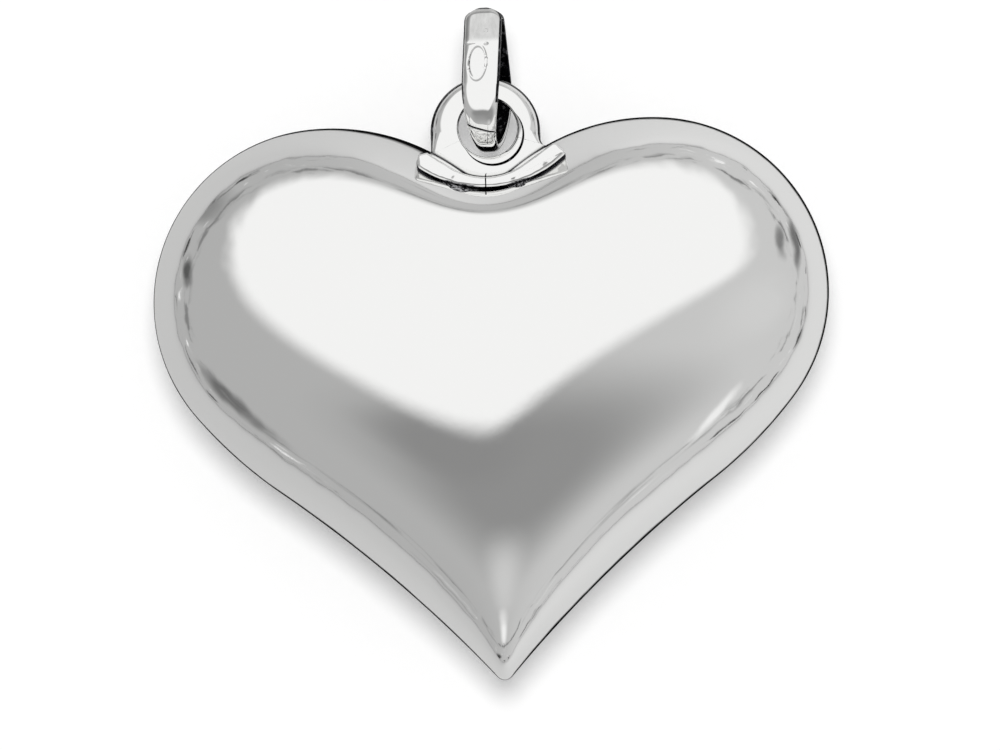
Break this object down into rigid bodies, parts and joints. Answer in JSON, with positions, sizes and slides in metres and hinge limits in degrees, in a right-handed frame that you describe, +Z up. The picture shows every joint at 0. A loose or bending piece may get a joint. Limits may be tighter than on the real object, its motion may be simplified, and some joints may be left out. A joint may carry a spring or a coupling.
{
  "type": "puffy heart pendant",
  "caption": "Hollow puffed heart pendant in polished silver, with a thick eye on a saddle in the cleft and a tapered swinging bail.",
  "frame": {"origin": "on the surface the pendant lies on, under the middle of its outline box", "axes": "+Z up out of the front shell, +Y from the tip towards the bail, +X to the right as seen from the front"},
  "size_m": [0.027, 0.027, 0.0112],
  "materials": {
    "shell_silver": "mirror polished silver with a bright white plating",
    "saddle_silver": "hand polished silver, softer in the corners",
    "eye_silver": "tumble polished cast silver",
    "bail_silver": "polished silver strip with small dents"
  },
  "bodies": {
    "pendant": {"front_shell": "shell_silver", "back_shell": "shell_silver", "saddle": "saddle_silver", "eye_ring": "eye_silver"},
    "bail": {"bail": "bail_silver"}
  },
  "joints": [
    {"name": "bail_swing", "type": "hinge", "parent": "pendant", "child": "bail", "pos_m": [0, 0.01025, 0.0056], "axis": [1, 0, 0], "range_deg": [-120, 120]}
  ]
}
